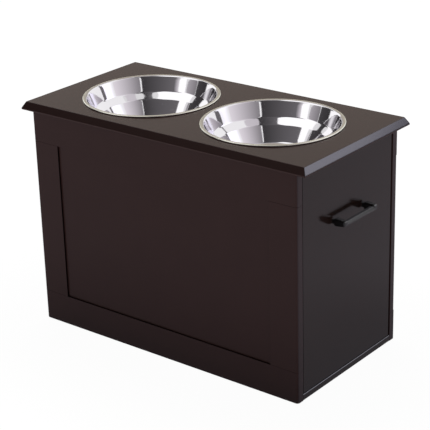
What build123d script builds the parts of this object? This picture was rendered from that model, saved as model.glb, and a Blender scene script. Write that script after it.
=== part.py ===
from build123d import *
import math
import os

os.makedirs("parts", exist_ok=True)

# Frame: origin at the centre of the box round the whole feeder, on the floor.
# +X is to the right seen from the front, +Y to the back, +Z up.  Millimetres.

# ---- driving dimensions: cabinet ----
body_width = 560.0            # front and rear frames, edge to edge
body_depth = 290.0            # front face to rear face
body_height = 396.0           # floor to the underside of the lid
frame_board = 15.0            # thickness of the rails and stiles
rail_height = 55.0
stile_width = 55.0
rear_stile_setback = 1.2      # rear stiles lie this far inside the rear rails' face
side_board = 15.0             # thickness of the side boards
side_inset = 1.5              # side boards behind the edges of the frames
base_board = 8.0              # thickness of the base board
base_lift = 1.0               # base board's underside above the floor
base_arris = 1.5              # rounded long edges of the base board
panel_thickness = 5.0
panel_recess = 3.2            # panel's face behind the face of its frame
groove_depth = 8.0            # panel groove in the rails and stiles
groove_end_play = 1.0         # panel edge to the bottom of its groove

# ---- driving dimensions: lid ----
lid_thickness = 14.0
lid_bevel_run = 6.5
lid_bevel_height = 11.0
lid_side_overhang = 20.0
lid_front_overhang = 6.0
lid_rear_overhang = 4.0

# ---- driving dimensions: bowls ----
bowl_spacing = 260.0          # centre to centre
bowl_rim_radius = 120.0
bowl_rim_height = 3.0         # rolled rim above the lid
bowl_rim_round = 2.2          # outer rounding of the rolled rim
bowl_mouth_radius = 112.4     # inside the rim
bowl_sheet = 0.8              # sheet thickness
bowl_depth = 62.7             # inside floor below the lid's top
bowl_upper_depth = 24.6       # upper wall, down to the shoulder
bowl_upper_taper = 9.8        # inward lean of the upper wall
bowl_shoulder_drop = 9.9
bowl_shoulder_step = 11.4     # inward step of the shoulder
bowl_lower_taper = 17.0       # inward lean of the lower wall
bowl_shoulder_round = 7.4
bowl_floor_round = 6.0
bowl_hole_clearance = 1.0     # bowl wall to the edge of its hole

# ---- driving dimensions: handles ----
handle_hole_centres = 86.0
handle_mid_height = 285.0     # above the floor
handle_reach = 25.5           # side board to the outer face of the bar
handle_bar_height = 11.0
handle_bar_depth = 7.0
handle_leg_width = 10.0
handle_neck_length = 5.0      # slimmer foot of each leg
handle_neck_inset = 1.2
handle_chamfer = 2.0
handle_screw_radius = 2.0
handle_thread_depth = 10.0    # screw in the leg
handle_head_radius = 4.0
handle_head_height = 2.4
handle_hole_play = 0.25       # screw to its hole in the side board

# ---- driving dimensions: hinges ----
hinge_spacing = 400.0         # centre to centre
hinge_length = 50.0
hinge_middle = 20.0           # the lid's knuckle, between the cabinet's two
hinge_leaf_width = 14.0       # pin axis to the leaf's front edge
hinge_leaf_thickness = 1.2
hinge_knuckle_radius = 2.5
hinge_pin_radius = 1.25
hinge_pin_offset = 1.0        # pin axis behind the rear rail's face
hinge_running_clearance = 0.05
hinge_side_clearance = 0.3    # between knuckles, and round them
hinge_notch_clearance = 0.5   # knuckles to the notches in rail and lid
hinge_screw_spacing = 32.0
hinge_screw_inset = 5.0       # screw to the leaf's front edge
hinge_screw_length = 12.0
hinge_screw_radius = 1.5
hinge_head_radius = 2.7
hinge_head_height = 1.0
hinge_head_sink = 0.1         # head below the leaf's face

# ---- driving dimensions: joinery ----
dowel_radius = 3.0
dowel_length = 30.0
dowel_play = 0.05             # round the dowel
dowel_end_play = 1.0          # at each end of the dowel
frame_dowel_spacing = 20.0    # the two dowels of a rail and stile joint
side_dowel_in_frame = 9.0     # the rest of the dowel is in the side board
side_dowel_edge = 30.0        # from the floor, and from the top of the cabinet
cam_edge = 85.0               # likewise
cam_setback = 24.0            # cam centre to the end of the side board
cam_radius = 7.4
cam_height = 12.0
cam_play = 0.1
cam_slot_depth = 2.0          # crossed slots for the screwdriver
cam_cavity_radius = 3.9       # hollow that takes the bolt's head
cam_bolt_thread_radius = 3.0
cam_bolt_thread_length = 10.0
cam_bolt_shank_radius = 2.5
cam_bolt_head_radius = 3.4
cam_bolt_head_length = 3.0
base_screw_spacing = 90.0
base_screw_length = 28.0
base_screw_radius = 1.75
base_head_radius = 3.6
base_head_height = 2.2
thread_play = 0.05            # screw threads in their holes
clearance_hole_play = 0.25    # screw shanks in the piece that they hold down

# ---- places worked out from them ----
lid_width = body_width + 2 * lid_side_overhang
lid_depth = body_depth + lid_front_overhang + lid_rear_overhang
lid_top = body_height + lid_thickness
front_y = lid_front_overhang - lid_depth / 2
rear_y = lid_depth / 2 - lid_rear_overhang
frame_edge_x = body_width / 2
opening_x = frame_edge_x - stile_width
side_outer_x = frame_edge_x - side_inset
side_inner_x = side_outer_x - side_board
side_mid_x = side_outer_x - side_board / 2
side_front_y = front_y + frame_board
side_rear_y = rear_y - frame_board
side_mid_y = (side_front_y + side_rear_y) / 2
base_top = base_lift + base_board
hinge_y = rear_y + hinge_pin_offset
bowl_hole_radius = bowl_mouth_radius + bowl_sheet + bowl_hole_clearance


def block(x_range, y_range, z_range):
    """Box between two limits along each axis, given in either order."""
    limits = (x_range, y_range, z_range)
    size = [abs(high - low) for low, high in limits]
    middle = [(high + low) / 2 for low, high in limits]
    return Pos(*middle) * Box(*size)


def rod(start, direction, length, radius):
    """Round bar from a start point along a direction."""
    return extrude(Plane(origin=start, z_dir=direction) * Circle(radius), amount=length)


def turned(outline):
    """Solid of revolution about Z from a closed outline of (radius, height) points."""
    return revolve(make_face(Polyline(*outline, close=True).moved(Rot(90, 0, 0))), Axis.Z)


def aimed(solid, start, direction):
    """A solid made about the origin along +Z, moved to a start point and turned to a direction."""
    return Plane(origin=start, z_dir=direction).location * solid


def both_sides(solid):
    """A solid on the right and its mirror image on the left."""
    return {"right": solid, "left": mirror(solid, about=Plane.YZ)}


def group(solids):
    """Separate solids as one node."""
    return Compound(children=list(solids))


def cut(solid, tools):
    """A solid less a list of tools."""
    for tool in tools:
        solid = solid - tool
    return solid


# ---- fasteners, made with the head's outer face at the origin and the shank along +Z ----
def cross_recess(width, depth):
    """Crossed slots for the screwdriver."""
    arm = width / 4
    return [Pos(0, 0, depth / 2) * Box(width, arm, depth), Pos(0, 0, depth / 2) * Box(arm, width, depth)]


def countersunk_screw(length, radius, head_radius, head_height):
    """Countersunk screw with a pointed tip and a cross recess."""
    tip = 2 * radius
    outline = [(0, 0), (head_radius, 0), (radius, head_height), (radius, length - tip), (0, length)]
    return cut(turned(outline), cross_recess(head_radius, head_height / 2))


def countersink(depth, radius, head_radius, head_height, lead):
    """Hole for a countersunk screw: shank and cone, open above the head by the lead."""
    outline = [
        (0, -lead),
        (head_radius, -lead),
        (head_radius, 0),
        (radius, head_height),
        (radius, depth),
        (0, depth),
    ]
    return turned(outline)


def pan_head_screw(length, radius, head_radius, head_height):
    """Machine screw with a domed head that stands on the origin and reaches below it."""
    head = Pos(0, 0, -head_height / 2) * Cylinder(head_radius, head_height)
    head = fillet(head.edges().filter_by(GeomType.CIRCLE).sort_by(Axis.Z)[0], head_height / 2)
    recess = [Pos(0, 0, -head_height) * tool for tool in cross_recess(head_radius, head_height / 2)]
    return cut(head + rod((0, 0, 0), (0, 0, 1), length, radius), recess)


# ---- dowels ----
def frame_dowel_places(outer_y, side):
    """Axis points of the dowels between rails and stiles, at the level of the joint."""
    y = outer_y - side * frame_board / 2
    stile_mid_x = frame_edge_x - stile_width / 2
    return [
        (end * stile_mid_x + offset * frame_dowel_spacing / 2, y, z)
        for end in (-1, 1)
        for offset in (-1, 1)
        for z in (rail_height, body_height - rail_height)
    ]


def frame_dowel(place, radius, length):
    """Upright round bar centred on a place: a dowel, or its hole."""
    x, y, z = place
    return rod((x, y, z - length / 2), (0, 0, 1), length, radius)


# ends of the side boards: (end of the board, direction into the board)
side_ends = [(side_front_y, 1), (side_rear_y, -1)]
side_dowel_heights = [side_dowel_edge, body_height - side_dowel_edge]
cam_heights = [cam_edge, body_height - cam_edge]


def side_dowel(end_y, inward, z, radius, end_gap):
    """Level round bar across the joint of the right side board and a frame."""
    start = (side_mid_x, end_y - inward * (side_dowel_in_frame + end_gap), z)
    return rod(start, (0, inward, 0), dowel_length + 2 * end_gap, radius)


right_side_dowels = [
    side_dowel(y, inward, z, dowel_radius, 0) for y, inward in side_ends for z in side_dowel_heights
]
right_side_dowel_holes = [
    side_dowel(y, inward, z, dowel_radius + dowel_play, dowel_end_play)
    for y, inward in side_ends
    for z in side_dowel_heights
]


# ---- cam locks ----
def cam_bolt():
    """Bolt screwed into a frame at the origin, with its head along +Z in the cam."""
    neck = cam_setback + cam_bolt_head_length / 2
    outline = [
        (0, -cam_bolt_thread_length),
        (cam_bolt_thread_radius, -cam_bolt_thread_length),
        (cam_bolt_thread_radius, 0),
        (cam_bolt_shank_radius, 0),
        (cam_bolt_shank_radius, neck - cam_bolt_head_length),
        (cam_bolt_head_radius, neck - cam_bolt_head_length),
        (cam_bolt_head_radius, neck),
        (0, neck),
    ]
    return turned(outline)


def cam_nut(end_y, inward, z):
    """Round nut in the inner face of the right side board, hollow towards the bolt."""
    centre_y = end_y + inward * cam_setback
    nut = rod((side_inner_x, centre_y, z), (1, 0, 0), cam_height, cam_radius)
    hollow_length = cam_radius + cam_bolt_head_length
    hollow_start = (side_mid_x, centre_y - inward * cam_radius, z)
    hollow = rod(hollow_start, (0, inward, 0), hollow_length, cam_cavity_radius)
    slots = cross_recess(cam_radius, cam_slot_depth)
    driver = [aimed(slot, (side_inner_x, centre_y, z), (1, 0, 0)) for slot in slots]
    return cut(nut, [hollow] + driver)


def cam_nut_hole(end_y, inward, z):
    """Pocket for the nut."""
    start = (side_inner_x, end_y + inward * cam_setback, z)
    return rod(start, (1, 0, 0), cam_height + cam_play, cam_radius + cam_play)


def cam_bolt_hole(end_y, inward, z):
    """Hole in the end of the right side board for the bolt's head."""
    return rod((side_mid_x, end_y, z), (0, inward, 0), cam_setback, cam_cavity_radius)


def cam_thread_hole(end_y, inward, z):
    """Hole in the frame for the bolt's thread."""
    length = cam_bolt_thread_length + thread_play
    return rod((side_mid_x, end_y, z), (0, -inward, 0), length, cam_bolt_thread_radius + thread_play)


cam_places = [(y, inward, z) for y, inward in side_ends for z in cam_heights]
right_cam_bolts = [
    aimed(cam_bolt(), (side_mid_x, y, z), (0, inward, 0)) for y, inward, z in cam_places
]
right_cam_nuts = [cam_nut(*place) for place in cam_places]
right_frame_holes = right_side_dowel_holes + [cam_thread_hole(*place) for place in cam_places]
frame_holes = right_frame_holes + [mirror(hole, about=Plane.YZ) for hole in right_frame_holes]


# ---- front and rear frames ----
def make_frame(outer_y, side, stile_setback):
    """Rails, stiles and panel of one frame; side is -1 at the front and +1 at the rear."""
    inner_y = outer_y - side * frame_board
    stile_y = outer_y - side * stile_setback
    panel_y = (outer_y - side * panel_recess, outer_y - side * (panel_recess + panel_thickness))
    full_x = (-frame_edge_x, frame_edge_x)
    opening_top = body_height - rail_height
    groove_x = opening_x + groove_depth
    groove = block((-groove_x, groove_x), panel_y, (rail_height - groove_depth, opening_top + groove_depth))
    reach = groove_depth - groove_end_play
    panel_x = opening_x + reach
    holes = [
        frame_dowel(place, dowel_radius + dowel_play, dowel_length + 2 * dowel_end_play)
        for place in frame_dowel_places(outer_y, side)
    ]
    tools = [groove] + holes + frame_holes
    pieces = {
        "top_rail": block(full_x, (outer_y, inner_y), (opening_top, body_height)),
        "bottom_rail": block(full_x, (outer_y, inner_y), (0, rail_height)),
        "right_stile": block((opening_x, frame_edge_x), (stile_y, inner_y), (rail_height, opening_top)),
        "left_stile": block((-opening_x, -frame_edge_x), (stile_y, inner_y), (rail_height, opening_top)),
    }
    pieces = {name: cut(piece, tools) for name, piece in pieces.items()}
    pieces["panel"] = block((-panel_x, panel_x), panel_y, (rail_height - reach, opening_top + reach))
    return pieces


# ---- hinges, made on the right at x = hinge_spacing / 2 ----
hinge_x = hinge_spacing / 2
hinge_span = (hinge_x - hinge_length / 2, hinge_x + hinge_length / 2)
middle_span = (hinge_x - hinge_middle / 2, hinge_x + hinge_middle / 2)
leaf_front_y = hinge_y - hinge_leaf_width
hinge_screw_y = leaf_front_y + hinge_screw_inset
hinge_screw_places = [
    (hinge_x + offset * hinge_screw_spacing / 2, hinge_screw_y) for offset in (-1, 1)
]


def hinge_rod(x_range, radius):
    """Round bar on the pin's axis."""
    start, end = x_range
    return rod((start, hinge_y, body_height), (1, 0, 0), end - start, radius)


def widened(x_range, amount):
    """A span made longer at both ends."""
    return (x_range[0] - amount, x_range[1] + amount)


def hinge_leaf(face_z, own_spans, other_spans, bore_radius):
    """One leaf from its plate, the knuckles that it carries and those that it leaves room for."""
    leaf = block(hinge_span, (leaf_front_y, hinge_y), (body_height, face_z))
    up = 1 if face_z < body_height else -1
    room = [
        hinge_rod(widened(span, hinge_side_clearance), hinge_knuckle_radius + hinge_side_clearance)
        for span in other_spans
    ]
    leaf = cut(leaf, room)
    for span in own_spans:
        leaf = leaf + hinge_rod(span, hinge_knuckle_radius)
    sinks = [
        aimed(hinge_countersink(hinge_leaf_thickness), (x, y, body_height), (0, 0, -up))
        for x, y in hinge_screw_places
    ]
    return cut(leaf, [hinge_rod(widened(hinge_span, hinge_side_clearance), bore_radius)] + sinks)


def hinge_countersink(depth):
    """Countersunk hole in a leaf, measured from the leaf's face."""
    play = clearance_hole_play
    hole = countersink(
        depth, hinge_screw_radius + play, hinge_head_radius + play, hinge_head_height, hinge_head_sink
    )
    return Pos(0, 0, hinge_head_sink) * hole


def hinge_screw():
    """Hinge screw, sunk a little below the leaf's face."""
    screw = countersunk_screw(
        hinge_screw_length, hinge_screw_radius, hinge_head_radius, hinge_head_height
    )
    return Pos(0, 0, hinge_head_sink) * screw


def hinge_pilot(direction):
    """Holes for the hinge screws in the rail or the lid."""
    length = hinge_screw_length + hinge_head_sink + thread_play
    return [
        rod((x, y, body_height), direction, length, hinge_screw_radius + thread_play)
        for x, y in hinge_screw_places
    ]


end_spans = [
    (hinge_span[0], middle_span[0] - hinge_side_clearance),
    (middle_span[1] + hinge_side_clearance, hinge_span[1]),
]
cabinet_leaf = hinge_leaf(body_height - hinge_leaf_thickness, end_spans, [middle_span], hinge_pin_radius)
lid_leaf = hinge_leaf(
    body_height + hinge_leaf_thickness,
    [middle_span],
    end_spans,
    hinge_pin_radius + hinge_running_clearance,
)
hinge_pin = hinge_rod(hinge_span, hinge_pin_radius)
cabinet_hinge_screws = [aimed(hinge_screw(), (x, y, body_height), (0, 0, -1)) for x, y in hinge_screw_places]
lid_hinge_screws = [aimed(hinge_screw(), (x, y, body_height), (0, 0, 1)) for x, y in hinge_screw_places]

notch_reach = hinge_knuckle_radius + hinge_notch_clearance
notch_span = widened(hinge_span, hinge_notch_clearance)
notch_y = (hinge_y - notch_reach, hinge_y + notch_reach)
rail_mortise = block(hinge_span, (leaf_front_y, hinge_y), (body_height - hinge_leaf_thickness, body_height))
rail_notch = block(notch_span, notch_y, (body_height - notch_reach, body_height))
lid_mortise = block(hinge_span, (leaf_front_y, hinge_y), (body_height, body_height + hinge_leaf_thickness))
lid_notch = block(notch_span, notch_y, (body_height, body_height + notch_reach))
rail_hinge_tools = [rail_mortise, rail_notch] + hinge_pilot((0, 0, -1))
lid_hinge_tools = [lid_mortise, lid_notch] + hinge_pilot((0, 0, 1))


# ---- handle, on the right side ----
handle_ends_y = [side_mid_y - handle_hole_centres / 2, side_mid_y + handle_hole_centres / 2]


def make_handle():
    """D-shaped pull: a chamfered bar on two legs with slimmer feet."""
    leg_y = handle_leg_width / 2
    half_height = handle_bar_height / 2
    z_range = (handle_mid_height - half_height, handle_mid_height + half_height)
    neck_x = side_outer_x + handle_neck_length
    outer_x = side_outer_x + handle_reach
    bar_x = (outer_x - handle_bar_depth, outer_x)
    handle = block(bar_x, (handle_ends_y[0] - leg_y, handle_ends_y[1] + leg_y), z_range)
    neck_z = (z_range[0] + handle_neck_inset, z_range[1] - handle_neck_inset)
    for y in handle_ends_y:
        handle = handle + block((neck_x, outer_x - handle_bar_depth / 2), (y - leg_y, y + leg_y), z_range)
        neck_y = (y - leg_y + handle_neck_inset, y + leg_y - handle_neck_inset)
        handle = handle + block((side_outer_x, neck_x), neck_y, neck_z)
    outer_face = handle.faces().sort_by(Axis.X)[-1]
    handle = chamfer(outer_face.edges(), handle_chamfer)
    thread_radius = handle_screw_radius + thread_play
    threads = [
        rod((side_outer_x, y, handle_mid_height), (1, 0, 0), handle_thread_depth, thread_radius)
        for y in handle_ends_y
    ]
    return cut(handle, threads)


def handle_screw(y):
    """Machine screw from inside the cabinet into a leg."""
    length = side_board + handle_thread_depth - thread_play
    screw = pan_head_screw(length, handle_screw_radius, handle_head_radius, handle_head_height)
    return aimed(screw, (side_inner_x, y, handle_mid_height), (1, 0, 0))


handle_holes = [
    rod((side_inner_x, y, handle_mid_height), (1, 0, 0), side_board, handle_screw_radius + handle_hole_play)
    for y in handle_ends_y
]

# ---- base board and its screws ----
base_screw_places = [
    (side_mid_x, side_mid_y + step * base_screw_spacing, base_lift) for step in (-1, 0, 1)
]
right_base_screws = [
    aimed(
        countersunk_screw(base_screw_length, base_screw_radius, base_head_radius, base_head_height),
        place,
        (0, 0, 1),
    )
    for place in base_screw_places
]
base_screw_holes = [
    aimed(
        countersink(
            base_board,
            base_screw_radius + clearance_hole_play,
            base_head_radius + clearance_hole_play,
            base_head_height,
            thread_play,
        ),
        place,
        (0, 0, 1),
    )
    for place in base_screw_places
]
base_pilots = [
    rod((x, y, z), (0, 0, 1), base_screw_length + thread_play, base_screw_radius + thread_play)
    for x, y, z in base_screw_places
]


def make_base():
    """Base board between the frames, flush with their edges, with rounded long edges."""
    base = block((-frame_edge_x, frame_edge_x), (side_front_y, side_rear_y), (base_lift, base_top))
    ends = base.faces().filter_by(Axis.X)
    long_edges = [edge for face in ends for edge in face.edges().filter_by(Axis.Y)]
    base = fillet(long_edges, base_arris)
    return cut(base, base_screw_holes + [mirror(hole, about=Plane.YZ) for hole in base_screw_holes])


def make_side_board():
    """Right side board, with the holes of its dowels, cams, handle and base screws."""
    board = block((side_inner_x, side_outer_x), (side_front_y, side_rear_y), (base_top, body_height))
    cam_holes = [hole(*place) for hole in (cam_nut_hole, cam_bolt_hole) for place in cam_places]
    return cut(board, right_side_dowel_holes + cam_holes + handle_holes + base_pilots)


def make_lid():
    """Lid board with mitred bevels, the bowl holes and the hinge mortises."""
    edge_height = lid_thickness - lid_bevel_height
    lid = Pos(0, 0, body_height + edge_height / 2) * Box(lid_width, lid_depth, edge_height)
    bevel_angle = math.degrees(math.atan2(lid_bevel_run, lid_bevel_height))
    outline = Plane.XY.offset(body_height + edge_height) * Rectangle(lid_width, lid_depth)
    lid = lid + extrude(outline, amount=lid_bevel_height, taper=bevel_angle)
    holes = [
        rod((side * bowl_spacing / 2, 0, body_height), (0, 0, 1), lid_thickness, bowl_hole_radius)
        for side in (-1, 1)
    ]
    mortises = lid_hinge_tools + [mirror(tool, about=Plane.YZ) for tool in lid_hinge_tools]
    return cut(lid, holes + mortises)


# ---- bowls, made about Z with the lid's top at zero ----
def bowl_side(offset):
    """Wall of the bowl from the axis to the mouth: the inside, or the outside at an offset."""
    upper_end = bowl_mouth_radius - bowl_upper_taper
    lower_start = upper_end - bowl_shoulder_step
    lower_end = lower_start - bowl_lower_taper
    shoulder_end = bowl_upper_depth + bowl_shoulder_drop
    floor = -bowl_depth - offset
    lower_slope = math.atan2(bowl_depth - shoulder_end, bowl_lower_taper)
    floor_edge = lower_end + offset * math.tan(lower_slope / 2)
    wall = FilletPolyline(
        (0, floor),
        (floor_edge, floor),
        (lower_start + offset, -shoulder_end - offset / 2),
        (upper_end + offset, -bowl_upper_depth - offset / 2),
        (bowl_mouth_radius + offset, 0),
        radius=[bowl_floor_round + offset, bowl_shoulder_round, bowl_shoulder_round],
    )
    lid_line = Polyline((bowl_mouth_radius + offset, 0), (0, 0), (0, floor))
    return revolve(Plane.XZ * make_face(wall.edges() + lid_line.edges()), Axis.Z)


def rim_arch(offset):
    """Solid arch over the lid's top: the outside of the rolled rim, or its inside at an offset."""
    inner, outer, top = bowl_mouth_radius + offset, bowl_rim_radius - offset, bowl_rim_height - offset
    arch = FilletPolyline((inner, 0), (inner, top), (outer, top), (outer, 0), radius=bowl_rim_round - offset)
    return revolve(Plane.XZ * make_face(arch.edges() + [Line((outer, 0), (inner, 0))]), Axis.Z)


def make_bowl():
    """Pressed bowl: stepped wall, round floor and a rolled rim that stands on the lid."""
    shell = bowl_side(bowl_sheet) - bowl_side(0)
    rim = rim_arch(0) - rim_arch(bowl_sheet)
    return shell + rim


# ---- the nodes ----
nodes = {}
frames = {
    "front": make_frame(front_y, -1, 0),
    "rear": make_frame(rear_y, 1, rear_stile_setback),
}
rail_tools = rail_hinge_tools + [mirror(tool, about=Plane.YZ) for tool in rail_hinge_tools]
frames["rear"]["top_rail"] = cut(frames["rear"]["top_rail"], rail_tools)
for place, pieces in frames.items():
    for name, piece in pieces.items():
        nodes[f"{place}_{name}"] = piece

frame_dowels = [
    frame_dowel(place, dowel_radius, dowel_length)
    for outer_y, side in ((front_y, -1), (rear_y, 1))
    for place in frame_dowel_places(outer_y, side)
]
nodes["frame_dowels"] = group(frame_dowels)
nodes["base_board"] = make_base()
nodes["lid_board"] = make_lid()

one_each_side = {
    "side_board": make_side_board(),
    "handle": make_handle(),
    "handle_screws": group([handle_screw(y) for y in handle_ends_y]),
    "hinge_cabinet_leaf": cabinet_leaf,
    "hinge_lid_leaf": lid_leaf,
    "hinge_pin": hinge_pin,
}
for name, piece in one_each_side.items():
    for side, solid in both_sides(piece).items():
        nodes[f"{side}_{name}"] = solid

grouped_from_right = {
    "side_dowels": right_side_dowels,
    "cam_bolts": right_cam_bolts,
    "cam_nuts": right_cam_nuts,
    "base_screws": right_base_screws,
    "hinge_cabinet_screws": cabinet_hinge_screws,
    "hinge_lid_screws": lid_hinge_screws,
}
for name, solids in grouped_from_right.items():
    nodes[name] = group(solids + [mirror(solid, about=Plane.YZ) for solid in solids])

for name, side in (("left_bowl", -1), ("right_bowl", 1)):
    nodes[name] = Pos(side * bowl_spacing / 2, 0, lid_top) * make_bowl()

for name, solid in nodes.items():
    export_step(solid, f"parts/{name}.step")
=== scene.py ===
"""Looks of an elevated dog feeder: a framed cabinet with a hinged lid that carries two bowls.

Everything is in metres, with +X to the right seen from the front, +Y to the back and +Z up.
"""

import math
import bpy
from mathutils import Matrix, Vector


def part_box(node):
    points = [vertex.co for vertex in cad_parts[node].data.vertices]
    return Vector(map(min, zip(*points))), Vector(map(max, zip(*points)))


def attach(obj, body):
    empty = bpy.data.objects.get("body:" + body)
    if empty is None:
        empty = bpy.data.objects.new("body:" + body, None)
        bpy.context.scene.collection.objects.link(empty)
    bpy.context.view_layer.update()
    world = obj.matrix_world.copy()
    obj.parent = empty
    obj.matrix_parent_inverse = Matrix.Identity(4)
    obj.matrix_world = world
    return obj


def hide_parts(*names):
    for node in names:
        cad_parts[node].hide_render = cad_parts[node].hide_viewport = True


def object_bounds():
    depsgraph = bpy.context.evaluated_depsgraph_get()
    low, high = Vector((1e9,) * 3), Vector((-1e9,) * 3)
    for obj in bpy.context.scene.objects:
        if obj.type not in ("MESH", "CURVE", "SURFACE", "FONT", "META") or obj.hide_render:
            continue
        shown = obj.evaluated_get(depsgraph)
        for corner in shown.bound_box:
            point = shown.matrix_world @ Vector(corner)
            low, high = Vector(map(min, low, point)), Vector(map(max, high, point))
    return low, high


bl_info = {
    "name": "Elevated Dog Feeder",
    "version": (1, 0, 0),
    "blender": (4, 5, 0),
    "location": "3D View > Sidebar > Dog Feeder",
    "description": "Lacquered cabinet, bevelled lid, spun steel bowls and their fittings",
    "category": "Add Mesh",
}

import bmesh
import bpy
from bpy.props import FloatProperty, FloatVectorProperty, IntProperty, PointerProperty
from mathutils import Matrix, Vector

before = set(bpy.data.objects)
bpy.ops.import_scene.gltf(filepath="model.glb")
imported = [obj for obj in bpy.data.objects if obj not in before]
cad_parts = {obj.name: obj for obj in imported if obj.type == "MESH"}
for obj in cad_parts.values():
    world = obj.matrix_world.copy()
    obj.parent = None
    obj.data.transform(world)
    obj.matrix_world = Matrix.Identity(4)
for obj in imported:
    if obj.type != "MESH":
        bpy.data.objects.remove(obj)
packed_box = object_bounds()

MM = 0.001
SIDES = {"left": -1, "right": 1}
UP = Vector((0, 0, 1))


# ---- small tools for colours, nodes and meshes ----
def from_hex(code):
    """Linear colour of an sRGB hex value such as #241918."""
    channels = [int(code[i : i + 2], 16) / 255 for i in (1, 3, 5)]
    return tuple(c / 12.92 if c <= 0.04045 else ((c + 0.055) / 1.055) ** 2.4 for c in channels)


def add(tree, kind, settings=None, **inputs):
    """Adds one node. Settings are its attributes. Inputs go by their names, or by _ and a number,
    and are values, sockets, or nodes whose first output feeds this one."""
    made = tree.nodes.new(kind)
    for name, value in (settings or {}).items():
        setattr(made, name, value)
    for name, value in inputs.items():
        key = int(name[1:]) if name[0] == "_" else name.replace("_", " ")
        if isinstance(value, bpy.types.Node):
            value = value.outputs[0]
        if isinstance(value, bpy.types.NodeSocket):
            tree.links.new(value, made.inputs[key])
        else:
            made.inputs[key].default_value = value
    return made


def new_material(name, shading, *details):
    """Material whose shader a function makes in its tree, from the details."""
    made = bpy.data.materials.new(name)
    made.use_nodes = True
    tree = made.node_tree
    tree.nodes.clear()
    add(tree, "ShaderNodeOutputMaterial", Surface=shading(tree, *details))
    return made


def toned(colour, share):
    """Deeper or paler version of a colour, with the alpha that its socket asks for."""
    return (*(min(1, c * share) for c in colour), 1)


def linked(name, data, *materials):
    """New object of a mesh with its materials in order, or of a lamp or a lens."""
    for material in materials:
        data.materials.append(material)
    made = bpy.data.objects.new(name, data)
    bpy.context.scene.collection.objects.link(made)
    return made


def settle(made):
    """Applies an object's modifiers to its mesh."""
    graph = bpy.context.evaluated_depsgraph_get()
    mesh = bpy.data.meshes.new_from_object(made.evaluated_get(graph), depsgraph=graph)
    mesh.name = made.name
    made.modifiers.clear()
    made.data = mesh
    return made


def even_shading(made, angle=40):
    """Smooth rounded edges beside flat faces that stay flat."""
    made.data.shade_smooth()
    made.data.set_sharp_from_angle(angle=math.radians(angle))
    weighted = made.modifiers.new("flat faces", "WEIGHTED_NORMAL")
    weighted.keep_sharp = True
    weighted.weight = 100
    return settle(made)


def box_mesh(low, high):
    """Box between two corners."""
    made = bmesh.new()
    bmesh.ops.create_cube(made, size=1)
    size, middle = Vector(high) - Vector(low), (Vector(high) + Vector(low)) / 2
    for v in made.verts:
        v.co = Vector(v.co[i] * size[i] + middle[i] for i in range(3))
    return made


def rod_mesh(start, direction, length, radius, tip_radius=None, sides=48):
    """Round bar or cone from a start point along a direction."""
    made = bmesh.new()
    tip = radius if tip_radius is None else tip_radius
    bmesh.ops.create_cone(made, cap_ends=True, segments=sides, radius1=radius, radius2=tip, depth=length)
    turn = UP.rotation_difference(Vector(direction)).to_matrix().to_4x4()
    place = Matrix.Translation(Vector(start)) @ turn @ Matrix.Translation((0, 0, length / 2))
    bmesh.ops.transform(made, matrix=place, verts=made.verts)
    return made


def skin(made, a, b):
    """Band of faces between two closed rings of vertices."""
    around = zip(a, a[1:] + a[:1], b[1:] + b[:1], b)
    return [made.faces.new(corners) for corners in around]


def lofted(loops):
    """Closed solid through loops of equal numbers of points."""
    made = bmesh.new()
    rings = [[made.verts.new(p) for p in loop] for loop in loops]
    made.faces.new(rings[0])
    made.faces.new(rings[-1])
    for a, b in zip(rings, rings[1:]):
        skin(made, a, b)
    bmesh.ops.recalc_face_normals(made, faces=made.faces)
    return made


def soften(made, radius, segments=3, edges=None):
    """Rounds a bmesh's edges to an arris."""
    bmesh.ops.bevel(
        made,
        geom=list(edges if edges is not None else made.edges),
        offset=radius,
        offset_type="OFFSET",
        segments=segments,
        profile=0.5,
        affect="EDGES",
        clamp_overlap=True,
    )


def to_object(name, made, *materials):
    """Object from a bmesh."""
    mesh = bpy.data.meshes.new(name)
    bmesh.ops.recalc_face_normals(made, faces=made.faces)
    made.to_mesh(mesh)
    made.free()
    return linked(name, mesh, *materials)


def hollow_out(made, cutters, operation="DIFFERENCE"):
    """Takes a list of bmeshes out of an object, or with UNION joins them to it."""
    if not cutters:
        return made
    joined = bmesh.new()
    for cutter in cutters:
        mesh = bpy.data.meshes.new("cutter")
        bmesh.ops.recalc_face_normals(cutter, faces=cutter.faces)
        cutter.to_mesh(mesh)
        cutter.free()
        joined.from_mesh(mesh)
        bpy.data.meshes.remove(mesh)
    tool = to_object("cutter", joined, made.data.materials[0])
    boolean = made.modifiers.new("cut", "BOOLEAN")
    boolean.operation = operation
    boolean.solver = "EXACT"
    boolean.use_self = True
    boolean.object = tool
    settle(made)
    mesh = tool.data
    bpy.data.objects.remove(tool)
    bpy.data.meshes.remove(mesh)
    return made


def coat_faces(made, keys, choice):
    """Gives each face the finish that choice names for it, from the object's finishes in order."""
    for face in made.data.polygons:
        face.material_index = keys.index(choice(face))


def rounded(points, radii, steps=8):
    """A 2D line through points, with each inner corner rounded to its radius."""
    line = [Vector(points[0])]
    for i in range(1, len(points) - 1):
        corner, radius = Vector(points[i]), radii[i - 1]
        back = (Vector(points[i - 1]) - corner).normalized()
        ahead = (Vector(points[i + 1]) - corner).normalized()
        half = back.angle(ahead) / 2
        if radius <= 0 or half > math.radians(89.5):
            line.append(corner)
            continue
        reach = radius / math.tan(half)
        centre = corner + (back + ahead).normalized() * (radius / math.sin(half))
        start, end = corner + back * reach - centre, corner + ahead * reach - centre
        sweep = start.angle_signed(end)
        for k in range(steps + 1):
            turn = Matrix.Rotation(-sweep * k / steps, 2)
            line.append(centre + turn @ start)
    line.append(Vector(points[-1]))
    return line


def finer(line, longest):
    """Divides the long runs of a 2D line."""
    out = [line[0]]
    for a, b in zip(line, line[1:]):
        parts = max(1, math.ceil((b - a).length / longest))
        out += [a + (b - a) * k / parts for k in range(1, parts + 1)]
    return out


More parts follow.
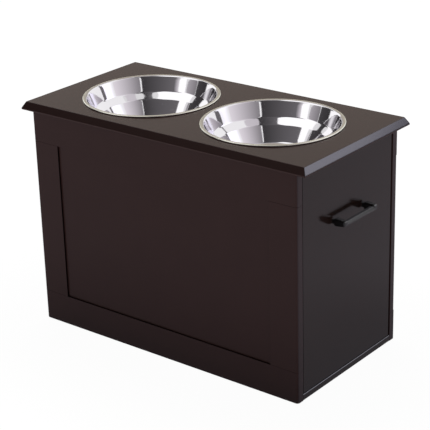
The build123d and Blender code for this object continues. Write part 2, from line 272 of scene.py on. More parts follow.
# ---- what a user would change ----
def size_in_mm(name, description, default, low, high):
    """Length that can be set, with its default and limits in millimetres."""
    return FloatProperty(
        name=name,
        description=description,
        default=default * MM,
        min=low * MM,
        max=high * MM,
        precision=5,
        unit="LENGTH",
    )


def shade(name, description, code):
    """Colour that can be set, with its default as an sRGB hex value."""
    return FloatVectorProperty(
        name=name,
        description=description,
        default=from_hex(code),
        min=0,
        max=1,
        size=3,
        subtype="COLOR",
    )


class FeederBoards(bpy.types.PropertyGroup):
    """Boards of the cabinet and the lid"""

    arris: size_in_mm("Board arris", "Radius of the edges of rails, stiles and sides", 0.6, 0.1, 2)
    corner: size_in_mm("Frame corner", "Radius of the upright outer corners of the frames", 4, 0.1, 6)
    side_arris: size_in_mm("Side joint arris", "Radius of the frames' edges beside the sides", 0.8, 0.1, 4)
    panel_arris: size_in_mm("Panel arris", "Radius of the recessed panels' edges", 0.3, 0.1, 1)
    joint_gap: size_in_mm("Joint gap", "Gap between the ends of the stiles and the rails", 0.35, 0.1, 1)
    shadow_gap: size_in_mm("Shadow gap", "Width of the sides' rebates beside the frames", 2.8, 0.1, 4)
    base_gap: size_in_mm("Base gap", "Height of the dark gap between base and sides", 1.4, 0.1, 4)
    base_rebate: size_in_mm("Base rebate", "Height of the base board's lips", 2, 0.1, 4)
    base_chamfer: size_in_mm("Base chamfer", "Width of the chamfer along the base's lips", 0.8, 0.1, 1.2)
    lid_arris: size_in_mm("Lid arris", "Radius of the softened edges and mitres of the lid", 0.9, 0.1, 2)
    bevel_height: size_in_mm("Lid bevel height", "Height of the bevel round the lid's top", 11, 1, 14)
    bevel_run: size_in_mm("Lid bevel width", "Width of the bevel round the lid's top", 6.5, 1, 12)
    groove: size_in_mm("Panel groove", "Depth of the grooves that hold the panels", 8, 2, 12)
    lacquer: shade("Lacquer", "Colour of the dark brown lacquer", "#3c2725")
    # painted shade: the sides and base take a darker, more purple copy of the lacquer, toned for how the
    # light falls on them
    side_lacquer: shade("Side lacquer", "Glossier coat on the side and base boards", "#241613")
    # painted reflection: a lilac, glossier copy of the lacquer gives the end bevels and the base's
    # chamfers the sheen of the side light
    end_lacquer: shade("End lacquer", "Glossy coat on the bevels at the lid's ends", "#1f182e")
    # painted shade: a darker, duller copy of the lacquer on the long bevels, which face front and back
    bevel_lacquer: shade("Bevel lacquer", "Duller coat on the lid's long routed bevels", "#2c1b19")
    # painted shade: near-black coat on the reveals, where the recess is in shadow
    recess_lacquer: shade("Recess lacquer", "Thin dull coat on the reveals round the panels", "#120b0a")
    # painted highlight: a lighter copy of the lacquer on the upright strip under the lid's bevel
    lip_lacquer: shade("Lip lacquer", "Coat on the upright edge under the lid's bevel", "#44312f")
    # partly the coat a cut edge takes, partly painted light where the frames' ends catch the side light
    edge_lacquer: shade("Edge lacquer", "Coat where the boards' cut edges drink it in", "#352427")


class FeederBowls(bpy.types.PropertyGroup):
    """Pressed steel bowls"""

    rim_radius: size_in_mm("Rim radius", "Outside of the rolled rim", 120, 80, 140)
    mouth_radius: size_in_mm("Mouth radius", "Inside of the rim", 112.4, 70, 135)
    depth: size_in_mm("Depth", "Floor below the lid's top", 62.7, 40, 120)
    shoulder: size_in_mm("Shoulder", "Depth of the shoulder below the lid's top", 24.6, 10, 60)
    sheet: size_in_mm("Sheet", "Thickness of the steel", 0.8, 0.3, 2)
    sectors: IntProperty(name="Sectors", description="Steps round a bowl", default=288, min=48, max=512)
    steel: shade("Steel", "Colour of the polished stainless steel", "#d7d5d8")
    rim_steel: shade("Rim steel", "Colour of the satin steel of the rolled rim", "#e4e2d8")


class FeederFittings(bpy.types.PropertyGroup):
    """Handles, hinges and joinery"""

    handle_black: shade("Handle black", "Colour of the black enamel of the handles", "#060606")
    nickel: shade("Nickel", "Colour of the nickel plate of the hinges", "#c6beb1")
    zinc: shade("Zinc plate", "Colour of the bright zinc plate of the screws", "#b9bec4")
    cast_zinc: shade("Cast zinc", "Colour of the raw castings of the cam nuts", "#8f9092")
    beech: shade("Beech", "Colour of the beech dowels", "#c79d6c")


class FeederStudio(bpy.types.PropertyGroup):
    """Floor, lights and camera"""

    floor: shade("Floor", "Colour of the plain pale floor", "#f4f4f4")
    gloss_tint: shade("Table tint", "Colour of the table as gloss and steel reflect it", "#fbf4ff")
    floor_reach: size_in_mm("Floor reach", "Half the width of the floor", 6000, 1000, 20000)
    # the table's glow fades towards the feeder within this distance: a painted shadow round its foot
    painted_shadow_reach: size_in_mm(
        "Dark margin", "Distance from the feeder at which the table glows fully", 600, 100, 3000
    )
    opal: FloatProperty(name="Table glow", description="Strength of the table's glow", default=0.72)
    sky: FloatProperty(name="Sky", description="Strength of the even light from all round", default=0.2)
    key: FloatProperty(name="Key light", description="Power of the top light", default=31.5, unit="POWER")
    lens: FloatProperty(name="Lens", description="Focal length", default=125.2, unit="CAMERA")


# ---- finishes ----
def satin_lacquer(tree, colour, roughness, gloss, grain_mm=1.2):
    """Satin nitrocellulose lacquer sprayed over fibreboard: deep brown, a soft broad sheen,
    a faint orange peel left by the spray and slight clouding where the coat is thicker."""
    place = add(tree, "ShaderNodeTexCoord").outputs["Object"]
    # clouds about 60 mm across, the fine grain of the board and an orange peel of 2.5 mm
    cloud = add(tree, "ShaderNodeTexNoise", Vector=place, Scale=1 / (60 * MM), Detail=2.0)
    fleck = add(tree, "ShaderNodeTexNoise", Vector=place, Scale=1 / (grain_mm * MM), Detail=3.0)
    deep, pale = toned(colour, 0.93), toned(colour, 1.07)
    tone = add(tree, "ShaderNodeMix", {"data_type": "RGBA"}, _0=cloud, _6=deep, _7=pale)
    sheen = add(tree, "ShaderNodeMapRange", Value=fleck, To_Min=roughness - 0.03, To_Max=roughness + 0.03)
    peel = add(tree, "ShaderNodeTexNoise", Vector=place, Scale=1 / (2.5 * MM), Detail=1.0)
    bump = add(tree, "ShaderNodeBump", Strength=0.08, Distance=0.05 * MM, Height=peel)
    return add(
        tree,
        "ShaderNodeBsdfPrincipled",
        Base_Color=tone.outputs[2],
        Roughness=sheen,
        Normal=bump,
        IOR=1.5,
        Specular_IOR_Level=gloss,
    )


def spun_steel(tree, colour, roughness):
    """Polished stainless steel with the fine rings that spinning and buffing leave:
    bright, with reflections drawn out across the rings."""
    path = add(tree, "ShaderNodeAttribute", {"attribute_name": "spin_path"}).outputs["Fac"]
    along = add(tree, "ShaderNodeCombineXYZ", X=path).outputs[0]
    # buffing rings are finer than 0.1 mm and wouldn't show, so they are drawn 0.8 mm apart;
    # the passes of the wheel leave broader bands, 5 mm apart
    rings = add(tree, "ShaderNodeTexNoise", Vector=along, Scale=1 / (0.8 * MM), Detail=2.0)
    passes = add(tree, "ShaderNodeTexNoise", Vector=along, Scale=1 / (5 * MM), Detail=1.0)
    polish = add(
        tree,
        "ShaderNodeMapRange",
        Value=passes,
        To_Min=roughness * 0.8,
        To_Max=roughness * 1.25,
    )
    bump = add(tree, "ShaderNodeBump", Strength=0.12, Distance=0.02 * MM, Height=rings)
    round_axis = add(tree, "ShaderNodeTangent", {"direction_type": "RADIAL", "axis": "Z"})
    return add(
        tree,
        "ShaderNodeBsdfPrincipled",
        Base_Color=(*colour, 1),
        Metallic=1.0,
        Roughness=polish,
        Anisotropic=0.5,
        Tangent=round_axis,
        Normal=bump,
    )


def black_enamel(tree, colour):
    """Stoved black enamel on a zinc casting: glossy black with a soft orange peel."""
    place = add(tree, "ShaderNodeTexCoord").outputs["Object"]
    peel = add(tree, "ShaderNodeTexNoise", Vector=place, Scale=1 / (1.5 * MM), Detail=2.0)
    bump = add(tree, "ShaderNodeBump", Strength=0.1, Distance=0.05 * MM, Height=peel)
    polish = add(tree, "ShaderNodeMapRange", Value=peel, To_Min=0.16, To_Max=0.24)
    return add(
        tree,
        "ShaderNodeBsdfPrincipled",
        Base_Color=(*colour, 1),
        Roughness=polish,
        IOR=1.5,
        Specular_IOR_Level=0.9,
        Normal=bump,
    )


def plated_metal(tree, colour, roughness, grit_mm):
    """Plated or cast zinc and nickel: an even metal sheen over the fine marks of the blank."""
    place = add(tree, "ShaderNodeTexCoord").outputs["Object"]
    marks = add(tree, "ShaderNodeTexNoise", Vector=place, Scale=1 / (grit_mm * MM), Detail=3.0)
    deep, pale = toned(colour, 0.9), toned(colour, 1.08)
    tone = add(tree, "ShaderNodeMix", {"data_type": "RGBA"}, _0=marks, _6=deep, _7=pale)
    polish = add(tree, "ShaderNodeMapRange", Value=marks, To_Min=roughness * 0.8, To_Max=roughness * 1.2)
    bump = add(tree, "ShaderNodeBump", Strength=0.1, Distance=0.02 * MM, Height=marks)
    return add(
        tree,
        "ShaderNodeBsdfPrincipled",
        Base_Color=tone.outputs[2],
        Metallic=1.0,
        Roughness=polish,
        Normal=bump,
    )


def beech_wood(tree, colour):
    """Turned beech: pale pinkish brown with short fine flecks along the grain."""
    place = add(tree, "ShaderNodeTexCoord").outputs["Object"]
    drawn = add(tree, "ShaderNodeMapping", Vector=place, Scale=(1, 0.15, 0.15)).outputs[0]
    grain = add(tree, "ShaderNodeTexNoise", Vector=drawn, Scale=1 / (0.8 * MM), Detail=4.0)
    deep, pale = toned(colour, 0.75), (*colour, 1)
    tone = add(tree, "ShaderNodeMix", {"data_type": "RGBA"}, _0=grain, _6=deep, _7=pale)
    bump = add(tree, "ShaderNodeBump", Strength=0.2, Distance=0.05 * MM, Height=grain)
    return add(
        tree,
        "ShaderNodeBsdfPrincipled",
        Base_Color=tone.outputs[2],
        Roughness=0.6,
        IOR=1.5,
        Normal=bump,
    )


# each finish: what makes it, its material's name, the setting that holds its colour, and then
# roughness, gloss and grain for a lacquer, roughness for steel, or roughness and grit for a plate;
# grain and grit are in millimetres, and drawn as coarse as they need to show
RECIPES = {
    "lacquer": (satin_lacquer, "dark brown satin lacquer", "boards.lacquer", 0.26, 0.24),
    # a darker, more purple copy of the lacquer for the sides and base: painted shade
    "side": (satin_lacquer, "dark brown semi-gloss lacquer", "boards.side_lacquer", 0.14, 0.46),
    # lilac copy of the lacquer on the end bevels and base chamfers: a painted reflection of the side light
    "end": (satin_lacquer, "dark brown gloss lacquer on end bevels", "boards.end_lacquer", 0.16, 1.0),
    # darker copy of the lacquer on the long bevels: painted shade
    "bevel": (satin_lacquer, "dark brown lacquer on routed bevels", "boards.bevel_lacquer", 0.3, 0.05),
    # cut-edge coat, partly painted light on the frames' side strips
    "edge": (satin_lacquer, "dark brown lacquer on cut edges", "boards.edge_lacquer", 0.3, 0.4, 0.6),
    # lighter copy of the lacquer on the lid's upright strip: a painted highlight
    "lip": (satin_lacquer, "dark brown lacquer on the lid's lip", "boards.lip_lacquer", 0.26, 0.24),
    # near-black coat on the reveals: painted shade in the recess
    "recess": (satin_lacquer, "dull lacquer in the reveals", "boards.recess_lacquer", 0.6, 0.04),
    "steel": (spun_steel, "spun stainless steel", "bowls.steel", 0.055),
    "rim": (spun_steel, "satin stainless rim", "bowls.rim_steel", 0.3),
    "enamel": (black_enamel, "black stoved enamel", "fittings.handle_black"),
    "nickel": (plated_metal, "nickel plated steel", "fittings.nickel", 0.28, 0.5),
    "zinc": (plated_metal, "zinc plated steel", "fittings.zinc", 0.34, 0.4),
    "cast": (plated_metal, "raw zinc casting", "fittings.cast_zinc", 0.5, 0.25),
    "beech": (beech_wood, "beech", "fittings.beech"),
}
FINISHES = {}


def finish(key):
    """The shared material of a finish, made when it is first asked for."""
    if key not in FINISHES:
        maker, name, setting, *numbers = RECIPES[key]
        colour = bpy.context.scene.path_resolve("feeder_" + setting)
        FINISHES[key] = new_material(name, maker, colour, *numbers)
    return FINISHES[key]


def finishes(keys):
    """The materials of finishes, in order."""
    return [finish(key) for key in keys]


def dress(node, key):
    """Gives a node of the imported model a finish."""
    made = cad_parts[node]
    made.data.materials.clear()
    made.data.materials.append(finish(key))


def stand_for(made, node, body):
    """A piece takes its node's place on a body."""
    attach(made, body)
    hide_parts(node)


# ---- boards ----
def upright(low, high, radii, arris):
    """Board whose four upright edges have their own radii, from the left front round to the left
    rear, and whose edges at top and bottom have a small arris."""
    corners = [(low.x, low.y), (high.x, low.y), (high.x, high.y), (low.x, high.y)]
    start = Vector(((low.x + high.x) / 2, low.y))
    line = rounded([start, *corners[1:], corners[0], start], [*radii[1:], radii[0]], 5)[:-1]
    made = bmesh.new()
    loops = [[made.verts.new((p.x, p.y, z)) for p in line] for z in (low.z, high.z)]
    rims = [made.faces.new(loop) for loop in loops]
    skin(made, *loops)
    soften(made, arris, edges={e for rim in rims for e in rim.edges})
    return made


def soft_board(name, node, cutters, radii=None, keys=("lacquer",), arris=None):
    """Board of a node's size with softened edges and its cut-outs, and with the finishes of keys."""
    arris = arris or bpy.context.scene.feeder_boards.arris
    made = upright(*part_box(node), radii or [arris] * 4, arris)
    board = to_object(name, made, *finishes(keys))
    hollow_out(board, cutters)
    return even_shading(board)


class OBJECT_OT_feeder_frames(bpy.types.Operator):
    """Front and rear frames: rails, stiles and their recessed panels"""

    bl_idname = "object.feeder_frames"
    bl_label = "Cabinet Frames"

    def execute(self, context):
        boards = context.scene.feeder_boards
        for end in ("front", "rear"):
            for piece in ("top_rail", "bottom_rail", "left_stile", "right_stile"):
                node = f"{end}_{piece}"
                cutters = [self.panel_slot(end, boards.groove)]
                if node == "rear_top_rail":
                    cutters += hinge_seats(-1)
                if piece.endswith("stile"):
                    cutters += self.joint_cuts(node, boards.joint_gap)
                # the outer corners are well rounded, and those beside the side boards a little
                pair = (boards.corner, boards.side_arris)
                pair = pair if end == "front" else pair[::-1]
                plain = (boards.arris, boards.arris)
                left = plain if piece == "right_stile" else pair
                right = plain if piece == "left_stile" else pair
                radii = [left[0], right[0], right[1], left[1]]
                keys = ("lacquer", "edge", "recess")
                board = soft_board(f"{node}_board", node, cutters, radii, keys)
                self.coat_board(board, piece, keys)
                stand_for(board, node, "cabinet")
            panel = soft_board(f"{end}_recessed_panel", f"{end}_panel", [], arris=boards.panel_arris)
            stand_for(panel, f"{end}_panel", "cabinet")
        return {"FINISHED"}

    def panel_slot(self, end, groove):
        """Opening of a frame and the grooves round it."""
        panel_low, panel_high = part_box(f"{end}_panel")
        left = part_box(f"{end}_left_stile")[1].x - groove
        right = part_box(f"{end}_right_stile")[0].x + groove
        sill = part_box(f"{end}_bottom_rail")[1].z - groove
        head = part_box(f"{end}_top_rail")[0].z + groove
        return box_mesh((left, panel_low.y, sill), (right, panel_high.y, head))

    def joint_cuts(self, node, gap):
        """Cuts that end a stile just short of the rails, which leaves a fine dark joint line."""
        low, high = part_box(node)
        return [
            box_mesh((low.x - MM, low.y - MM, seat - gap), (high.x + MM, high.y + MM, seat + gap))
            for seat in (low.z, high.z)
        ]

    def coat_board(self, board, piece, keys):
        """Paints shade into the reveal beside the panel with a near-black dull coat, and gives the upright
        cut faces the edge lacquer, whose look is partly painted light.
        """
        inward = {
            "top_rail": -UP,
            "bottom_rail": UP,
            "left_stile": Vector((1, 0, 0)),
            "right_stile": Vector((-1, 0, 0)),
        }[piece]

        def choice(face):
            if face.normal.dot(inward) > 0.8:
                return "recess"
            # sideways faces take the edge coat: partly a cut edge's coat, partly painted light where the
            # frames' ends catch the side light
            return "edge" if abs(face.normal.x) > 0.8 else "lacquer"

        coat_faces(board, keys, choice)


def hinge_seats(up):
    """Shallow mortises and notches for the hinges, in the rail (up = -1) or in the lid (up = 1)."""
    knuckle, play, leaf = 2.5 * MM, 0.5 * MM, 1.2 * MM
    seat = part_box("front_top_rail")[1].z
    part = "lid" if up > 0 else "cabinet"
    cutters = []
    for side in SIDES:
        leaf_low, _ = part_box(f"{side}_hinge_{part}_leaf")
        pin_low, pin_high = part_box(f"{side}_hinge_pin")
        axis = ((pin_low + pin_high) / 2).y
        reach = knuckle + play
        mortise = (pin_low.x, leaf_low.y), (pin_high.x, axis), leaf
        notch = (pin_low.x - play, axis - reach), (pin_high.x + play, axis + reach), reach
        for start, end, depth in (mortise, notch):
            # from a millimetre outside of the board's face down to the depth of the cut
            z_low, z_high = sorted((seat - up * MM, seat + up * depth))
            cutters.append(box_mesh((*start, z_low), (*end, z_high)))
    return cutters


class OBJECT_OT_feeder_sides(bpy.types.Operator):
    """Side boards, bored for the cam nuts, and the base board with its countersinks"""

    bl_idname = "object.feeder_sides"
    bl_label = "Side and Base Boards"

    def execute(self, context):
        boards = context.scene.feeder_boards
        for side, sign in SIDES.items():
            self.side_board(boards, side, sign)
        self.base_board(boards)
        return {"FINISHED"}

    def side_board(self, boards, side, sign):
        low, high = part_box(f"{side}_side_board")
        inner, outer = (low.x, high.x) if sign > 0 else (high.x, low.x)
        # bores for the cam nuts, cut from a millimetre inside the cabinet
        nut_low, nut_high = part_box("cam_nuts")
        nut, play, bore = 7.4 * MM, 0.1 * MM, 13.1 * MM
        cutters = [
            rod_mesh((inner - sign * MM, y, z), (sign, 0, 0), bore, nut + play)
            for y in (nut_low.y + nut, nut_high.y - nut)
            for z in (nut_low.z + nut, nut_high.z - nut)
        ]
        # shallow rebates leave a dark line where the board meets the frames
        rebate = 3 * MM
        x_low, x_high = sorted((outer + sign * MM, outer - sign * rebate))
        for end, way in ((low.y, 1), (high.y, -1)):
            y_low, y_high = sorted((end - way * MM, end + way * boards.shadow_gap))
            cutters.append(box_mesh((x_low, y_low, low.z - MM), (x_high, y_high, high.z + MM)))
        # one along the bottom takes the base board's lip and leaves a dark line over it
        head = low.z + boards.base_rebate + boards.base_gap
        cutters.append(box_mesh((x_low, low.y - MM, low.z - MM), (x_high, high.y + MM, head)))
        upright_arris = 0.5 * MM
        radii = [upright_arris] * 4
        board = soft_board(f"{side}_side_panel", f"{side}_side_board", cutters, radii, ("side",))
        stand_for(board, f"{side}_side_board", "cabinet")

    def base_board(self, boards):
        low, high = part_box("base_board")
        # it reaches a little lower than its solid, and has a chamfered lip at each end
        drop, lip, arris = 0.7 * MM, 1.4 * MM, 0.6 * MM
        foot, top = low.z - drop, high.z + boards.base_rebate
        right = [(high.x, foot), (high.x, top), (high.x - lip, top), (high.x - lip, high.z)]
        left = [(low.x + lip, high.z), (low.x + lip, top), (low.x, top), (low.x, foot)]
        made = lofted([[(x, y, z) for x, z in (*right, *left)] for y in (low.y, high.y)])
        ends = [
            e
            for e in made.edges
            if e.verts[0].co.y != e.verts[1].co.y
            and min(abs(e.verts[0].co.x - x) for x in (low.x, high.x)) < lip / 2
        ]
        upper = [e for e in ends if e.verts[0].co.z > high.z]
        soften(made, arris, edges=[e for e in ends if e.verts[0].co.z < high.z])
        soften(made, boards.base_chamfer, segments=1, edges=[e for e in upper if e.is_valid])
        keys = ("side", "end")
        base = to_object("base_panel", made, *finishes(keys))
        # countersinks for the screws, cut from just below the board
        screw_low, screw_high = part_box("base_screws")
        head, play, shank, depth = 3.6 * MM, 0.35 * MM, 1.8 * MM, 2.55 * MM
        cutters = [
            rod_mesh((x, y, foot - 0.1 * MM), UP, depth, head + play, shank, 32)
            for x in (screw_low.x + head, screw_high.x - head)
            for y in (screw_low.y + head, (screw_low.y + screw_high.y) / 2, screw_high.y - head)
        ]
        hollow_out(base, cutters)
        even_shading(base)
        # the chamfers take the lilac, glossier copy of the lacquer that the bevels at the lid's ends have:
        # a painted highlight
        coat_faces(base, keys, lambda face: "end" if 0.5 < face.normal.z < 0.9 else "side")
        stand_for(base, "base_board", "cabinet")


class OBJECT_OT_feeder_lid(bpy.types.Operator):
    """Lid board: mitred bevels all round, two bowl holes and the hinge seats"""

    bl_idname = "object.feeder_lid"
    bl_label = "Lid"

    def execute(self, context):
        boards, bowls = context.scene.feeder_boards, context.scene.feeder_bowls
        low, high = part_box("lid_board")
        loops = []
        for z, inset in ((low.z, 0), (high.z - boards.bevel_height, 0), (high.z, boards.bevel_run)):
            x_low, x_high = low.x + inset, high.x - inset
            y_low, y_high = low.y + inset, high.y - inset
            loops.append([(x_low, y_low, z), (x_high, y_low, z), (x_high, y_high, z), (x_low, y_high, z)])
        made = lofted(loops)
        soften(made, boards.lid_arris, segments=4)
        keys = ("lacquer", "edge", "bevel", "end", "lip")
        lid = to_object("bevelled_lid", made, *finishes(keys))
        # each hole has a millimetre of play round its bowl, and its cutter stands out by a margin
        play, margin = 1 * MM, 5 * MM
        hole = bowls.mouth_radius + bowls.sheet + play
        centres = [bowl_centre(side) for side in SIDES]
        length = high.z - low.z + 2 * margin
        cutters = [rod_mesh((c.x, c.y, low.z - margin), UP, length, hole, sides=192) for c in centres]
        hollow_out(lid, cutters + hinge_seats(1))
        even_shading(lid)

        # coats by the way a face points: the long bevels take painted shade, the end bevels a painted
        # lilac sheen, the upright front and rear faces a painted highlight, and the hole walls the edge
        # coat
        def choice(face):
            up, along = face.normal.z, abs(face.normal.y)
            if abs(up) < 0.3 and any((face.center - c).xy.length < hole + MM for c in centres):
                return "edge"
            if 0.2 < up < 0.8:
                return "bevel" if along > 0.5 else "end"
            return "lip" if along > 0.9 else "lacquer"

        coat_faces(lid, keys, choice)
        stand_for(lid, "lid_board", "lid")
        return {"FINISHED"}


# ---- bowls ----
def bowl_centre(side):
    """Middle of a bowl, at the level of the lid's top."""
    low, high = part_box(f"{side}_bowl")
    middle = (low + high) / 2
    return Vector((middle.x, middle.y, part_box("lid_board")[1].z))


def bowl_profile(bowls):
    """Inside and outside lines of the pressed sheet as (radius, height above the lid's top), from
    the middle outwards. The inside line goes on round the rolled rim to its hem."""
    sheet, mouth, rim = bowls.sheet, bowls.mouth_radius, bowls.rim_radius
    upper_lean, shoulder_run, shoulder_drop, lower_lean = 9.8 * MM, 11.4 * MM, 9.9 * MM, 17 * MM
    crown, hem_width, seat = 2.9 * MM, 3.2 * MM, 0.05 * MM
    floor_bend, wall_bend, finest = 6 * MM, 7.4 * MM, 6 * MM
    upper_end = mouth - upper_lean
    lower_start = upper_end - shoulder_run
    lower_end = lower_start - lower_lean
    flare = upper_lean / bowls.shoulder * crown
    hem = rim - hem_width

    def wall(offset):
        """Floor and wall up to the shoulder, moved outwards."""
        return [
            (0, -bowls.depth - offset),
            (lower_end + offset / 2, -bowls.depth - offset),
            (lower_start + offset, -(bowls.shoulder + shoulder_drop) - offset / 2),
            (upper_end + offset, -bowls.shoulder - offset / 2),
        ]

    # the last bends of each line are those of the flare and of the rolled rim
    inner = [*wall(0), (mouth + flare, crown), (rim, crown), (rim, seat), (hem, seat)]
    inner_bends = [floor_bend, wall_bend, wall_bend, 4.2 * MM, 1.5 * MM, 1.35 * MM]
    outer = [*wall(sheet), (mouth + flare + sheet, crown - sheet), (hem, crown - sheet)]
    outer_bends = [floor_bend + sheet, wall_bend, wall_bend, 3.4 * MM]
    inside = finer(rounded(inner, inner_bends, 12), finest)
    outside = finer(rounded(outer, outer_bends, 12), finest)
    return inside, outside


def turned_ring(made, layer, point, place, sectors):
    """Vertices round Z at a point of the profile, with their place along the sheet."""
    if point.x < 1e-6:
        ring = [made.verts.new((0, 0, point.y))]
    else:
        angles = [2 * math.pi * k / sectors for k in range(sectors)]
        ring = [made.verts.new((point.x * math.cos(a), point.x * math.sin(a), point.y)) for a in angles]
    for v in ring:
        v[layer] = place
    return ring


def turned_shell(name, inside, outside, sectors, rim_start, *materials):
    """Sheet between two lines turned about Z and closed at the hem, with the place along the sheet
    kept for the finish. Outside and above rim_start it takes the second material."""
    made = bmesh.new()
    layer = made.verts.layers.float.new("spin_path")
    hems = []
    for line in (inside, outside):
        place, rings = 0.0, []
        for i, point in enumerate(line):
            if i:
                place += (point - line[i - 1]).length
            rings.append(turned_ring(made, layer, point, place, sectors))
        hems.append(rings[-1])
        middle, first = rings[0][0], rings[1]
        for k in range(sectors):
            made.faces.new((middle, first[(k + 1) % sectors], first[k]))
        for point, a, b in zip(line[1:], rings[1:], rings[2:]):
            satin = point.x > rim_start[0] and point.y > rim_start[1]
            for face in skin(made, a, b):
                face.material_index = int(satin)
    for face in skin(made, *hems):
        face.material_index = 1
    for face in made.faces:
        face.smooth = True
    return to_object(name, made, *materials)


class OBJECT_OT_feeder_bowls(bpy.types.Operator):
    """Two pressed and spun bowls with shouldered walls and rolled rims"""

    bl_idname = "object.feeder_bowls"
    bl_label = "Bowls"

    def execute(self, context):
        bowls = context.scene.feeder_bowls
        inside, outside = bowl_profile(bowls)
        rim_start = (bowls.mouth_radius + 3 * MM, -2 * MM)
        steels = finishes(("steel", "rim"))
        for side in SIDES:
            name = f"{side}_spun_bowl"
            bowl = turned_shell(name, inside, outside, bowls.sectors, rim_start, *steels)
            bowl.data.set_sharp_from_angle(angle=math.radians(50))
            bowl.location = bowl_centre(side)
            stand_for(bowl, f"{side}_bowl", f"{side}_bowl")
        return {"FINISHED"}


# ---- handles ----
class OBJECT_OT_feeder_handles(bpy.types.Operator):
    """Black cast pulls on both side boards, with the machine screws that hold them"""

    bl_idname = "object.feeder_handles"
    bl_label = "Handles"

    def execute(self, context):
        for side, sign in SIDES.items():
            low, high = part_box(f"{side}_handle")
            pull = cast_pull(f"{side}_cast_pull", low, high, sign)
            stand_for(pull, f"{side}_handle", "cabinet")
            dress(f"{side}_handle_screws", "zinc")
        return {"FINISHED"}


def cushion_loop(half_width, half_height, radius):
    """Rounded rectangle round the origin."""
    w, h = half_width, half_height
    start = Vector((0, -h))
    return rounded([start, (w, -h), (w, h), (-w, h), (-w, -h), start], [radius] * 4, 5)[:-1]


def cast_pull(name, low, high, sign):
    """D-shaped pull: a slim bar whose outer face leans back, between two round-ended legs that swell
    towards the board and stand on slimmer feet."""
    face = low.x if sign > 0 else high.x
    reach = high.x - low.x
    middle = (low.z + high.z) / 2
    # corners of the bar's section as (depth behind the outer face, height, radius)
    bar = [(7.9, -5.0, 1.0), (1.9, -4.3, 0.9), (0.2, -1.7, 1.1), (2.6, 3.0, 0.7), (7.9, 3.4, 1.0)]
    section = [(reach - depth * MM, height * MM) for depth, height, _ in bar]
    start = (Vector(section[-1]) + Vector(section[0])) / 2
    line = rounded([start, *section, start], [radius * MM for *_, radius in bar], 5)[:-1]
    heart = sum(line, Vector((0, 0))) / len(line)
    # the bar's ends draw in, as (distance from the handle's end, share of the section)
    ends = [(low.y + inset * MM, share) for inset, share in ((3, 0.7), (3.4, 0.9), (4, 1))]
    ends += [(low.y + high.y - y, share) for y, share in reversed(ends)]
    loops = []
    for y, share in ends:
        flat = [(heart.x + (p.x - heart.x) * share, heart.y + (p.y - heart.y) * share) for p in line]
        loops.append([(face + sign * x, y, middle + z) for x, z in flat])
    pull = to_object(name, lofted(loops), finish("enamel"))
    # legs and feet as (distance from the board, half width, half height, corner radius)
    leg = [
        (4.2, 3.9, 4.6, 1.6),
        (4.7, 4.9, 5.7, 2.0),
        (5.9, 5.3, 6.3, 2.4),
        (9.5, 5.3, 6.3, 2.6),
        (15, 5.2, 5.8, 2.6),
        (21, 5.0, 5.0, 2.5),
        (23.4, 4.7, 4.5, 2.4),
        (24.6, 4.0, 3.7, 2.0),
        (25.1, 2.8, 2.6, 1.4),
    ]
    foot = [(0, 3.6, 4.0, 1.8), (6, 3.6, 4.0, 1.8)]
    half_leg = 5 * MM
    parts = []
    for y in (low.y + half_leg, high.y - half_leg):
        for stations in (leg, foot):
            loops = []
            for out, *cushion in stations:
                loop = cushion_loop(*(size * MM for size in cushion))
                loops.append([(face + sign * out * MM, y + p.x, middle + p.y) for p in loop])
            parts.append(lofted(loops))
    hollow_out(pull, parts, "UNION")
    return even_shading(pull, 55)


class OBJECT_OT_feeder_hinges(bpy.types.Operator):
    """Nickel-plated butt hinges with their pins and screws"""

    bl_idname = "object.feeder_hinges"
    bl_label = "Hinges"

    def execute(self, context):
        for side in SIDES:
            for piece in ("hinge_cabinet_leaf", "hinge_lid_leaf", "hinge_pin"):
                dress(f"{side}_{piece}", "nickel")
        dress("hinge_cabinet_screws", "zinc")
        dress("hinge_lid_screws", "zinc")
        return {"FINISHED"}


class OBJECT_OT_feeder_joinery(bpy.types.Operator):
    """Beech dowels, cam bolts, cam nuts and the screws of the base"""

    bl_idname = "object.feeder_joinery"
    bl_label = "Joinery"

    def execute(self, context):
        dress("frame_dowels", "beech")
        dress("side_dowels", "beech")
        dress("cam_bolts", "zinc")
        dress("cam_nuts", "cast")
        dress("base_screws", "zinc")
        return {"FINISHED"}


# ---- studio ----
# the camera's place, its azimuth and elevation as seen from the feeder, and its roll, in degrees
CAMERA_PLACE = Vector((1.5104, -1.8704, 1.1952))
CAMERA_BEARING = (38.86, 22.15)
CAMERA_ROLL = -1.67

# the cards are bent round the middle of the lid's top
CARD_MIDDLE = Vector((0, 0, 0.41))

SMOOTH = {"interpolation_type": "SMOOTHSTEP"}

